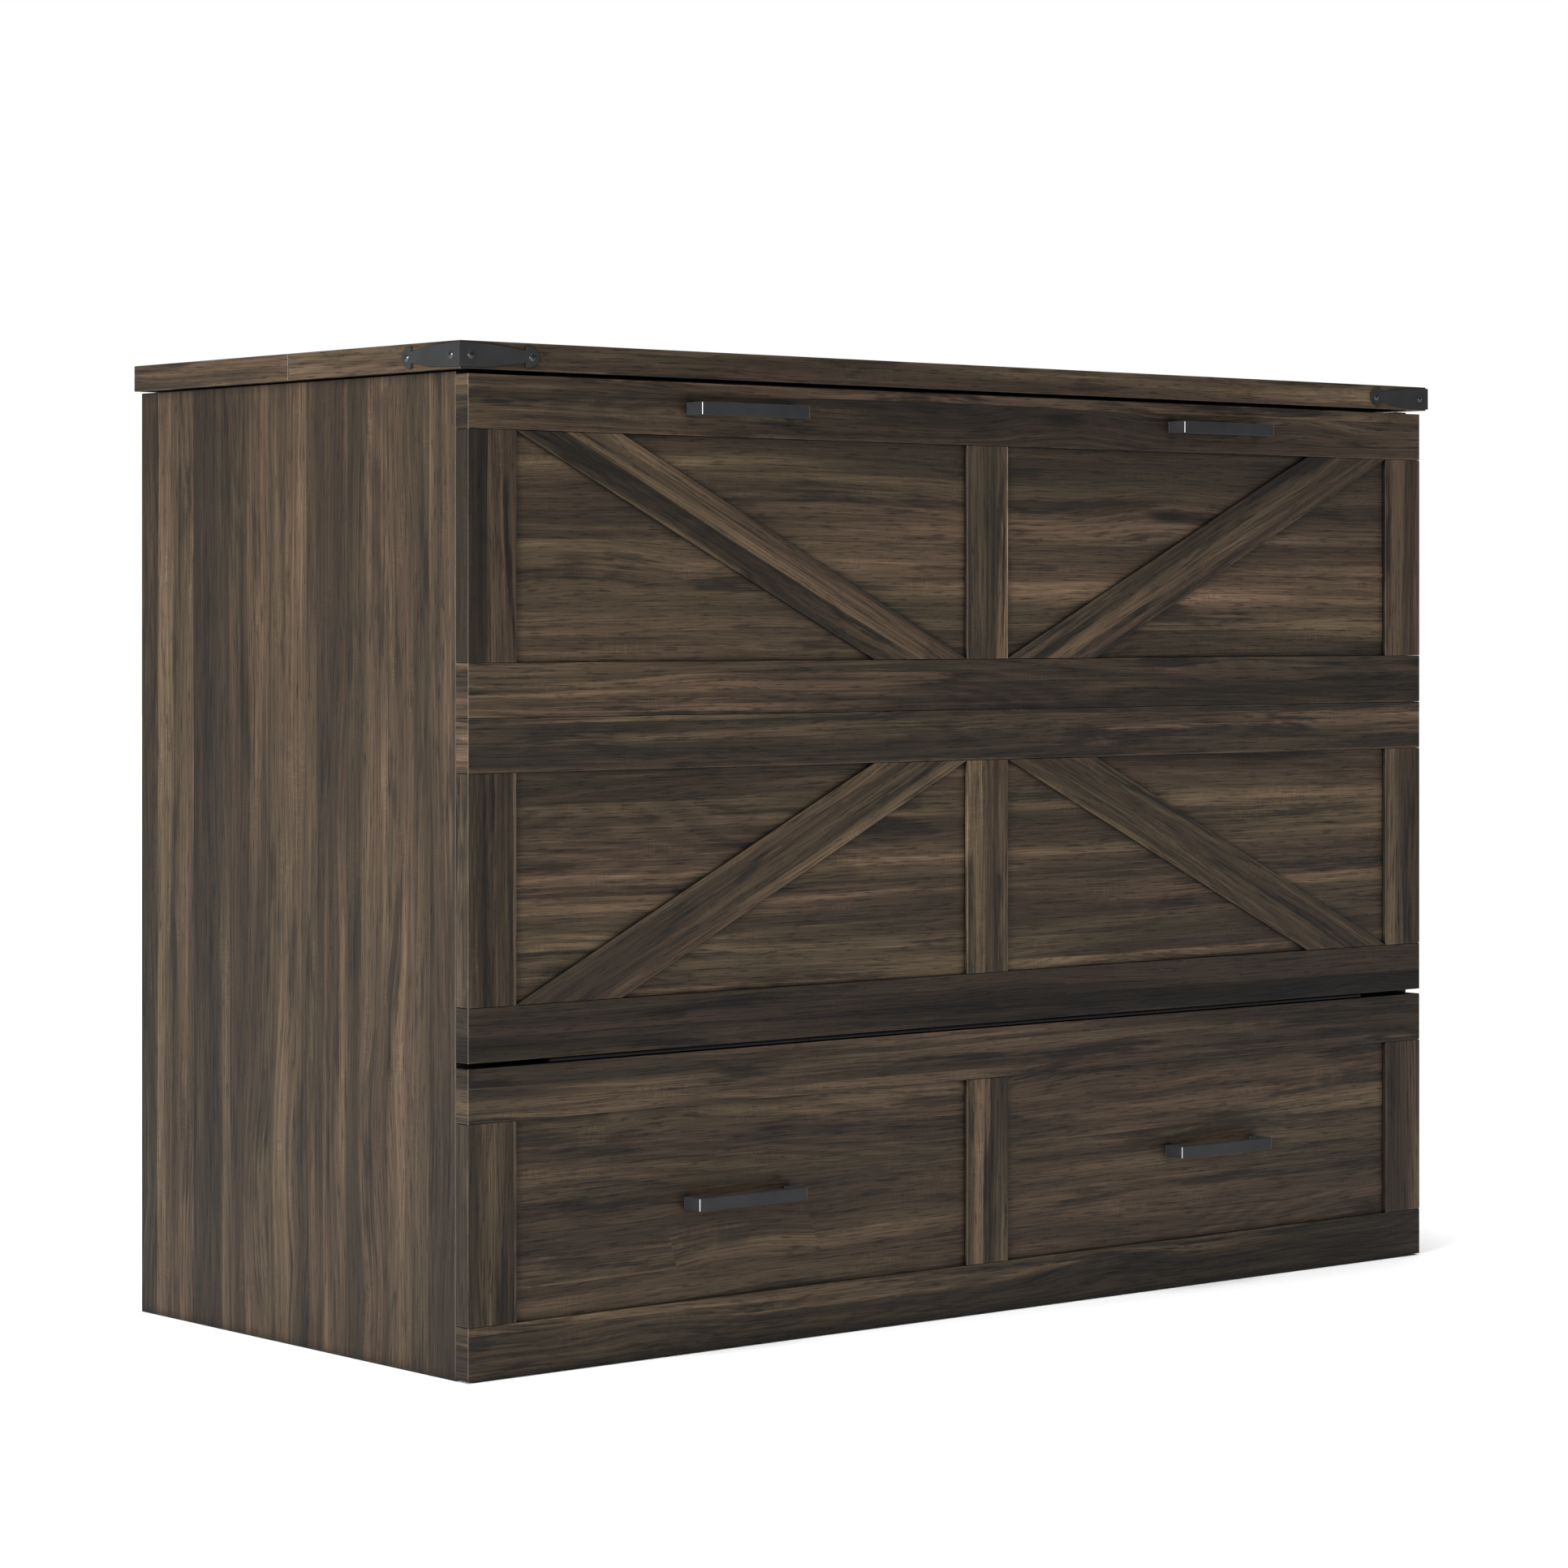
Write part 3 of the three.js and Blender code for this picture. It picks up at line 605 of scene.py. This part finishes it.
def bolt(name, body, place, out, material, radius, height):
    """A six-sided bolt head on a washer."""
    bm = bmesh.new()
    turn = out.to_track_quat("Z", "Y").to_matrix().to_4x4()
    for sides, wide, low, high in ((24, radius * 1.3, 0.0, height * 0.25), (6, radius, height * 0.2, height)):
        matrix = Matrix.Translation(place + out * (low + high) / 2) @ turn
        bmesh.ops.create_cone(bm, cap_ends=True, segments=sides, radius1=wide, radius2=wide,
                              depth=high - low, matrix=matrix)
    return piece(name, bm, body, material)


def spread(low, high, count):
    return [low + (high - low) * (i + 0.5) / count for i in range(count)]


def hinge_screws(zinc):
    """Countersunk screws along the long hinges' leaves."""
    for node, body, top, side in (
        ("lid_hinge_fixed_leaf", "carcass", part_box("lid_rear")[1].z, 1),
        ("lid_hinge_moving_leaf", "lid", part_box("lid_front")[1].z, -1),
        ("foot_hinge_fixed_leaf", "front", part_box("front_top_rail")[1].z, -1),
        ("foot_hinge_moving_leaf", "foot_section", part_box("foot_deck")[1].z + 0.0001, 1),
    ):
        low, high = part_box(node)
        y = high.y - LEAF_MARGIN if side > 0 else low.y + LEAF_MARGIN
        places = [Vector((x, y, top + LEAF_RISE)) for x in spread(low.x, high.x, HINGE_SCREWS)]
        screws(node + "_screws", body, places, Z, zinc, "zinc_steel")


def strap_screws(black):
    """Domed screws over the stubs on the corner straps, one near each end of each leg."""
    lid_low, lid_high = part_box("lid_front")
    for side, sign in (("left", -1), ("right", 1)):
        low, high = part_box("corner_strap_" + side)
        middle = (low.z + high.z) / 2
        corner_x = lid_low.x if sign < 0 else lid_high.x
        front = lid_low.y - STRAP_THICKNESS
        flank = corner_x + sign * STRAP_THICKNESS
        places = [Vector((corner_x - sign * u, front, middle)) for u in STRAP_SCREWS]
        screws(f"strap_{side}_front_screws", "lid", places, -Y, black, "black_metal", *STRAP_SCREW)
        places = [Vector((flank, lid_low.y + u, middle)) for u in STRAP_SCREWS]
        screws(f"strap_{side}_side_screws", "lid", places, X * sign, black, "black_metal", *STRAP_SCREW)


def leg_hardware(black, zinc, rubber):
    """Brackets, pivot bolts and feet of the folding legs, all folded flat against the foot deck."""
    deck_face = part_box("foot_deck")[1].y
    for side, sign in (("left", -1), ("right", 1)):
        low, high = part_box("mid_leg_" + side)
        radius = (high.y - low.y) / 2
        pivot_x = (low.x + radius) if sign < 0 else (high.x - radius)
        pivot_y = (low.y + high.y) / 2
        for end, level, up in (("low", low.z, -1), ("high", high.z, 1)):
            inner = level + up * BRACKET_GAP
            outer = inner + up * BRACKET_PLATE
            bm = bmesh.new()
            back = deck_face + BRACKET_GAP
            outline = [(pivot_x - radius, back), (pivot_x + radius, back)]
            for i in range(ARC_STEPS + 1):
                angle = math.pi * i / ARC_STEPS
                outline.append((pivot_x + radius * math.cos(angle), pivot_y + radius * math.sin(angle)))
            bottom = [bm.verts.new((x, y, inner)) for x, y in outline]
            top = [bm.verts.new((x, y, outer)) for x, y in outline]
            bm.faces.new(bottom)
            bm.faces.new(top)
            for i, vertex in enumerate(bottom):
                j = (i + 1) % len(bottom)
                bm.faces.new((vertex, bottom[j], top[j], top[i]))
            foot = sorted((outer, outer + up * BRACKET_FOOT))
            add_box(bm, (pivot_x - radius, back, foot[0]), (pivot_x + radius, back + BRACKET_PLATE, foot[1]))
            name = f"mid_leg_bracket_{side}_{end}"
            piece(name, bm, "foot_section", black)
            pivot = Vector((pivot_x, pivot_y, outer))
            bolt(name + "_bolt", "foot_section", pivot, Z * up, zinc, *BOLT_SIZE)
            held = [Vector((pivot_x, back + BRACKET_PLATE, sum(foot) / 2))]
            screws(name + "_screw", "foot_section", held, Y, zinc, "zinc_steel", dome=PAN_DOME)
        tip = high.x if sign < 0 else low.x
        bm = bmesh.new()
        cap = sorted((tip - sign * CAP_PROUD, tip + sign * CAP_LENGTH))
        proud = Vector((0, CAP_PROUD, CAP_PROUD))
        add_box(bm, (cap[0], *(low - proud).yz), (cap[1], *(high + proud).yz))
        piece(f"mid_leg_foot_{side}", bm, f"{side}_mid_leg", rubber, bevel=0.0005)

        low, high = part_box("end_leg_bracket_" + side)
        leg_low, leg_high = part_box("end_leg_panel")
        leg_radius = (leg_high.y - leg_low.y) / 2
        face = low.y + 0.003
        x = (low.x + high.x) / 2 + sign * 0.0015
        places = [Vector((x, face, z)) for z in spread(low.z, high.z, 2)]
        name = f"end_leg_bracket_{side}_screws"
        screws(name, "foot_section", places, Y, zinc, "zinc_steel", dome=PAN_DOME)
        ear = (low.x if sign > 0 else high.x) + sign * 0.003
        pivot = Vector((ear, leg_low.y + leg_radius, leg_low.z + leg_radius))
        bolt(f"end_leg_bolt_{side}", "foot_section", pivot, X * sign, zinc, *BOLT_SIZE)
    glides = [Vector((x, leg_low.y + leg_radius, leg_high.z)) for x in spread(leg_low.x, leg_high.x, 4)]
    screws("end_leg_glides", "end_leg", glides, Z, rubber, "black_metal", radius=0.008, dome=0.0008)


def case_screws(zinc, black):
    """Screws that hold the back panel, and those of the slides on the drawer box."""
    low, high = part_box("back_panel")
    face = high.y
    rows = [low.x + EDGE_IN, high.x - EDGE_IN]
    places = [Vector((x, face, z)) for x in rows for z in spread(low.z, high.z, 7)]
    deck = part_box("base_deck")
    level = (deck[0].z + deck[1].z) / 2
    places += [Vector((x, face, level)) for x in spread(low.x, high.x, 7)]
    screws("back_screws", "carcass", places, Y, black, "black_metal", radius=0.004, dome=0.0006)
    for side, sign in (("left", -1), ("right", 1)):
        low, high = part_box("slide_inner_" + side)
        web = (high.x if sign < 0 else low.x) + sign * SLIDE_GAUGE
        middle = (low.z + high.z) / 2
        places = [Vector((web, y, middle)) for y in spread(low.y, high.y, 5)]
        screws(f"slide_screws_{side}", "drawer", places, X * sign, zinc, "zinc_steel", dome=PAN_DOME)


# Screws and the folding legs' fittings.
SCREW_RINGS = 7
SCREW_SIDES = 24
SCREW_SUNK = 0.0008
HINGE_SCREWS = 14
LEAF_MARGIN = 0.0075
LEAF_RISE = 0.0015
BRACKET_GAP = 0.0004
BRACKET_PLATE = 0.0025
BRACKET_FOOT = 0.014
CAP_PROUD = 0.0007
CAP_LENGTH = 0.018
EDGE_IN = 0.012
SLIDE_GAUGE = 0.0012
STRAP_THICKNESS = 0.002
STRAP_SCREWS = (0.015, 0.104)
# Radius and dome, or radius and height.
STRAP_SCREW = (0.005, 0.0026)
BOLT_SIZE = (0.005, 0.004)
PAN_DOME = 0.001
ARC_STEPS = 12

# The mattress sections: foam in a knitted cover that is quilted in diamonds.
LOOP = 0.0016
FOAM_INSET = 0.011
FOAM_RADIUS = 0.022
VOXEL = 0.006
SIM_FRAMES = 20
PRESSURE = 4.0
COVER_MASS = 0.3
CLEARANCE = 0.0005
SWELL = 0.012
QUILT = 0.19
QUILT_WIDTH = 0.009
QUILT_DEPTH = 0.005
RIM_PLAIN = 0.022
RIM_FADE = 0.03
TAPE_IN = 0.016
TAPE_WIDTH = 0.006
TAPE_DEPTH = 0.002
TAPE_RADIUS = 0.003
TAPE_STEPS = 480
TAPE_SQUARE = 0.35
TAPE_TURN = 0.05


def grain_of(node):
    if "brace" in node:
        return brace_direction(node)
    if "stile" in node or node.startswith("side") or node == "back_panel":
        return Z
    return X


def finish_frame():
    tree = wood_group()
    black = metal("black_metal", (0.0215, 0.0221, 0.0233), 0.45, 0.0, 900.0)
    # The straps and the pulls get a painted highlight: a pale colour on their rounded upright edges.
    strap = metal("strap_black", (0.0215, 0.0221, 0.0229), 0.45, 0.0, 900.0, wear_and_highlight=(0.2, 0.2, 0.2))
    pull = metal("pull_black", (0.0215, 0.0221, 0.0236), 0.45, 0.0, 900.0, wear_and_highlight=(0.8, 0.8, 0.8))
    # Painted shade: the hinges in the gaps above the drawer and under the lid are painted near-black, far
    # darker than black metal, to stand for the shadow in the gaps.
    gap_shade = metal("gap_shade_black", (0.003, 0.003, 0.003), 0.8, 0.0, 900.0)
    zinc = metal("zinc_steel", (0.55, 0.56, 0.57), 0.3, 1.0, 400.0)
    for node, obj in nodes.items():
        slot = obj.data.materials[0].name.split(".")[0]
        if slot in ("laminate", "lining"):
            paint(node, wood(node, grain_of(node), tree))
            soften(node, 0.0008)
        elif slot == "black_metal":
            coats = {"front_hinge": gap_shade, "foot_hinge": gap_shade, "handle": pull, "strap": strap, "": black}
            paint(node, next(coat for word, coat in coats.items() if word in node))
            if "handle" in node:
                soften(node, 0.0011, 3)
            elif "strap" in node:
                soften(node, 0.0007, 3)
        elif slot == "zinc_steel":
            paint(node, zinc)
    rubber = metal("rubber", (0.012, 0.012, 0.012), 0.75, 0.0, 600.0)
    hinge_screws(zinc)
    strap_screws(metal("screw_black", (0.014, 0.014, 0.015), 0.3, 0.0, 900.0, 1.0))
    leg_hardware(black, zinc, rubber)
    case_screws(zinc, black)


def studio():
    bpy.ops.mesh.primitive_plane_add(size=60)
    floor = bpy.context.object
    floor.name = "floor"
    material, n, shader = principled("floor")
    shader.inputs["Base Color"].default_value = (0.9, 0.9, 0.9, 1)
    shader.inputs["Roughness"].default_value = 0.9
    shader.inputs["Specular IOR Level"].default_value = 0.0
    floor.data.materials.append(material)

    world = bpy.data.worlds.new("studio")
    bpy.context.scene.world = world
    world.use_nodes = True
    tree = world.node_tree
    tree.nodes.clear()
    n = Nodes(tree)
    seen = n.add("LightPath").outputs["Is Camera Ray"]
    strength = n.math("MULTIPLY_ADD", seen, 1.0 - AMBIENT, AMBIENT)
    back = n.add("Background", {"Color": (1, 1, 1, 1), "Strength": strength})
    n.add("OutputWorld", {"Surface": back.outputs[0]})

    key = bpy.data.lights.new("key", "AREA")
    key.size = KEY_SIZE
    key.energy = KEY_POWER
    top = bpy.data.lights.new("top", "SUN")
    top.energy = TOP_STRENGTH
    top.angle = TOP_ANGLE
    strip = bpy.data.lights.new("strip", "AREA")
    strip.shape = "RECTANGLE"
    strip.size, strip.size_y = STRIP_SIZE
    strip.energy = STRIP_POWER
    for light, place in ((key, KEY_PLACE), (top, (0, 0, 6)), (strip, STRIP_PLACE)):
        obj = bpy.data.objects.new(light.name, light)
        obj.location = place
        obj.rotation_euler = (Vector(place) - Vector((0, 0, 0.6))).to_track_quat("Z", "Y").to_euler()
        obj.visible_camera = False
        bpy.context.scene.collection.objects.link(obj)


AMBIENT = 0.22
KEY_PLACE = (-5.2, -1.7, 1.9)
KEY_SIZE = 2.4
KEY_POWER = 330.0
STRIP_PLACE = (-4.2, -3.2, 1.1)
STRIP_SIZE = (0.5, 1.0)
STRIP_POWER = 18.0
TOP_STRENGTH = 3.4
TOP_ANGLE = math.radians(30)


def camera():
    data = bpy.data.cameras.new("camera")
    data.lens = 102.3
    data.shift_y = -0.1059
    obj = bpy.data.objects.new("camera", data)
    obj.location = (-3.8687, -4.5352, 0.8899)
    obj.rotation_euler = (math.pi / 2, 0, -0.6992)
    bpy.context.scene.collection.objects.link(obj)
    bpy.context.scene.camera = obj


camera()
finish_frame()
mattress()
studio()
bpy.context.scene.view_settings.view_transform = "Standard"
